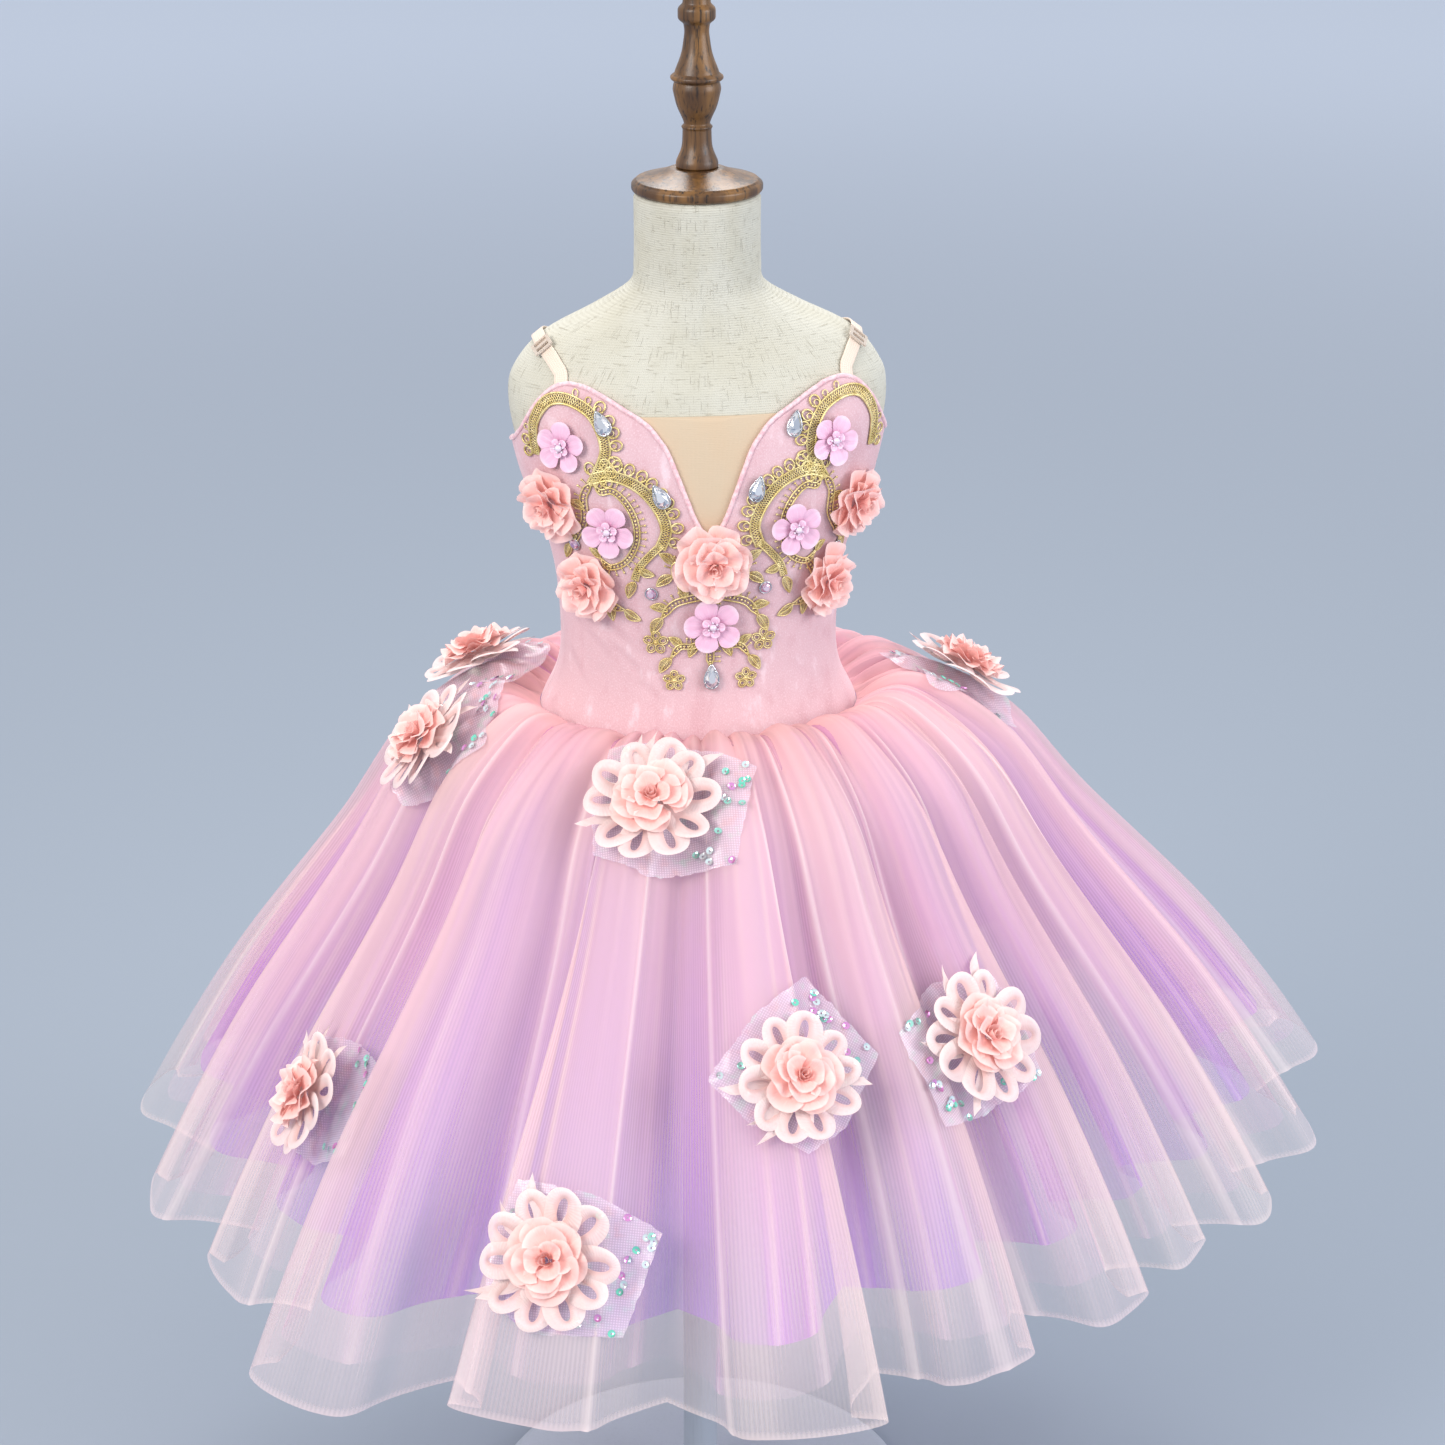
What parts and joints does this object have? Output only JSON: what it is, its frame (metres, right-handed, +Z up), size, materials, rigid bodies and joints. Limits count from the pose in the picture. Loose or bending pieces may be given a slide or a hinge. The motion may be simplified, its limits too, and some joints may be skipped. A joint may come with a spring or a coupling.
{
  "type": "ballet dress on dress form",
  "caption": "Child's ballet dress with a pointed-cup velvet bodice and a long gathered tulle skirt, on a limbless linen dress form with a round base.",
  "frame": {"origin": "on the floor under the pole, at the centre of the underside of the round base", "axes": "+Z up along the pole, -Y towards the front of the dress, +X towards the viewer's right when looking at the front"},
  "size_m": [0.8791, 0.801, 1.1696],
  "materials": {
    "linen": "plain woven cream linen cover with slubs",
    "turned_wood": "turned wood, dark walnut stain, worn satin lacquer",
    "velvet": "pale pink stretch velvet",
    "velvet_binding": "rolled pink elastic binding",
    "nude_mesh": "nude stretch power mesh",
    "nude_elastic": "nude elastic tape",
    "slider_plastic": "clear nude moulded plastic",
    "gold_lace": "metallic gold cord lace",
    "coral_chiffon": "gathered coral chiffon",
    "orchid_satin": "embossed orchid pink satin",
    "cut_stone": "faceted clear stone in a silvered setting",
    "pink_tulle": "soft pink tulle with fine ribs",
    "lilac_tulle": "soft lilac tulle with fine ribs",
    "sequin_organza": "sheer organza with iridescent sequins",
    "ribbon_flower": "pale pink ribbon loops round gathered coral chiffon"
  },
  "bodies": {
    "root": {"form_base": "turned_wood", "form_pole": "turned_wood", "form_torso": "linen", "form_cap": "turned_wood", "form_finial": "turned_wood", "bodice_front": "velvet", "bodice_back": "velvet", "bodice_insert": "nude_mesh", "binding_front": "velvet_binding", "binding_back": "velvet_binding", "strap_left": "nude_elastic", "strap_slider_left": "slider_plastic", "strap_right": "nude_elastic", "strap_slider_right": "slider_plastic", "lace_left": "gold_lace", "lace_right": "gold_lace", "lace_centre": "gold_lace", "rosette_1": "coral_chiffon", "rosette_2": "coral_chiffon", "rosette_3": "coral_chiffon", "rosette_4": "coral_chiffon", "rosette_5": "coral_chiffon", "satin_flower_1": "orchid_satin", "satin_flower_2": "orchid_satin", "satin_flower_3": "orchid_satin", "satin_flower_4": "orchid_satin", "satin_flower_5": "orchid_satin", "drop_stone_1": "cut_stone", "drop_stone_2": "cut_stone", "drop_stone_3": "cut_stone", "drop_stone_4": "cut_stone", "drop_stone_5": "cut_stone", "skirt_outer_front": "pink_tulle", "skirt_outer_back": "pink_tulle", "skirt_middle_front": "pink_tulle", "skirt_middle_back": "pink_tulle", "skirt_lilac_front": "lilac_tulle", "skirt_lilac_back": "lilac_tulle", "flower_scrap_1": "sequin_organza", "skirt_flower_1": "ribbon_flower", "flower_scrap_2": "sequin_organza", "skirt_flower_2": "ribbon_flower", "flower_scrap_3": "sequin_organza", "skirt_flower_3": "ribbon_flower", "flower_scrap_4": "sequin_organza", "skirt_flower_4": "ribbon_flower", "flower_scrap_5": "sequin_organza", "skirt_flower_5": "ribbon_flower", "flower_scrap_6": "sequin_organza", "skirt_flower_6": "ribbon_flower", "flower_scrap_7": "sequin_organza", "skirt_flower_7": "ribbon_flower", "flower_scrap_8": "sequin_organza", "skirt_flower_8": "ribbon_flower", "flower_scrap_9": "sequin_organza", "skirt_flower_9": "ribbon_flower", "flower_scrap_10": "sequin_organza", "skirt_flower_10": "ribbon_flower", "flower_scrap_11": "sequin_organza", "skirt_flower_11": "ribbon_flower"}
  },
  "joints": []
}
